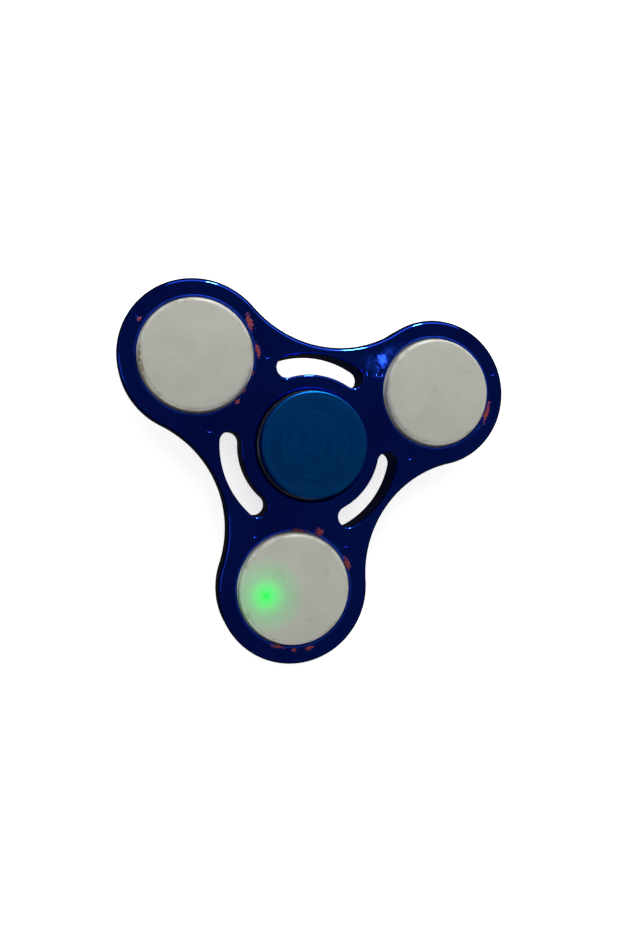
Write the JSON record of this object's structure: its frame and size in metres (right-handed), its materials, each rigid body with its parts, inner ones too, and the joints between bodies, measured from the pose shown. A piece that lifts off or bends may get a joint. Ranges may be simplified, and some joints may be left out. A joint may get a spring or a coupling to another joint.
{
  "type": "hand spinner",
  "caption": "Light-up hand spinner: a lobed plated frame turns on a ball bearing between two finger caps, with a press-on light module in each arm.",
  "frame": {"origin": "on the spin axis, at the rear finger cap's outer face, on which the spinner rests", "axes": "+Z along the spin axis towards the front, where the light caps show; -Y along the first arm"},
  "size_m": [0.0794, 0.0727, 0.0138],
  "materials": {
    "plated_frame": "polished",
    "finger_cap_finish": "satin",
    "bearing_steel": "polished",
    "shield_steel": "satin",
    "cage_nylon": "satin",
    "light_cap_white": "satin",
    "housing_plastic": "satin",
    "circuit_board": "satin",
    "chip_resin": "gloss",
    "switch_plastic": "satin",
    "plunger_plastic": "satin",
    "contact_metal": "satin",
    "cell_metal": "polished",
    "spring_steel": "satin",
    "led_red": "gloss",
    "led_green": "gloss",
    "led_blue": "gloss"
  },
  "bodies": {
    "hub": {"rear_finger_cap": "finger_cap_finish", "front_finger_cap": "finger_cap_finish", "bearing_inner_ring": "bearing_steel"},
    "rotor": {"spinner_frame": "plated_frame", "bearing_outer_ring": "bearing_steel", "front_bearing_shield": "shield_steel", "rear_bearing_shield": "shield_steel", "light_housing_1": "housing_plastic", "circuit_board_1": "circuit_board", "control_chip_1": "chip_resin", "button_switch_1": "switch_plastic", "cell_contacts_1": "contact_metal", "button_cells_1": "cell_metal", "cell_link_plate_1": "spring_steel", "cell_return_clip_1": "spring_steel", "battery_cover_1": "housing_plastic", "light_housing_2": "housing_plastic", "circuit_board_2": "circuit_board", "control_chip_2": "chip_resin", "button_switch_2": "switch_plastic", "cell_contacts_2": "contact_metal", "button_cells_2": "cell_metal", "cell_link_plate_2": "spring_steel", "cell_return_clip_2": "spring_steel", "battery_cover_2": "housing_plastic", "light_housing_3": "housing_plastic", "circuit_board_3": "circuit_board", "control_chip_3": "chip_resin", "button_switch_3": "switch_plastic", "cell_contacts_3": "contact_metal", "button_cells_3": "cell_metal", "cell_link_plate_3": "spring_steel", "cell_return_clip_3": "spring_steel", "battery_cover_3": "housing_plastic", "red_led_1": "led_red", "green_led_1": "led_green", "blue_led_1": "led_blue", "red_led_2": "led_red", "green_led_2": "led_green", "blue_led_2": "led_blue", "red_led_3": "led_red", "green_led_3": "led_green", "blue_led_3": "led_blue"},
    "ball_cage": {"bearing_balls": "bearing_steel", "bearing_cage": "cage_nylon"},
    "button_1": {"light_cap_1": "light_cap_white", "switch_plunger_1": "plunger_plastic"},
    "button_2": {"light_cap_2": "light_cap_white", "switch_plunger_2": "plunger_plastic"},
    "button_3": {"light_cap_3": "light_cap_white", "switch_plunger_3": "plunger_plastic"}
  },
  "joints": [
    {"name": "spin", "type": "hinge", "parent": "hub", "child": "rotor", "pos_m": [0, 0, 0.0069], "axis": [0, 0, 1], "continuous": true},
    {"name": "cage_spin", "type": "hinge", "parent": "hub", "child": "ball_cage", "pos_m": [0, 0, 0.0069], "axis": [0, 0, 1], "continuous": true},
    {"name": "press_1", "type": "slide", "parent": "rotor", "child": "button_1", "axis": [0, 0, -1], "range_m": [0, 0.0003], "stiffness_N_per_m": 3000},
    {"name": "press_2", "type": "slide", "parent": "rotor", "child": "button_2", "axis": [0, 0, -1], "range_m": [0, 0.0003], "stiffness_N_per_m": 3000},
    {"name": "press_3", "type": "slide", "parent": "rotor", "child": "button_3", "axis": [0, 0, -1], "range_m": [0, 0.0003], "stiffness_N_per_m": 3000}
  ],
  "couplings": [
    {"joint": "cage_spin", "follows": "spin", "ratio": 0.6323}
  ]
}
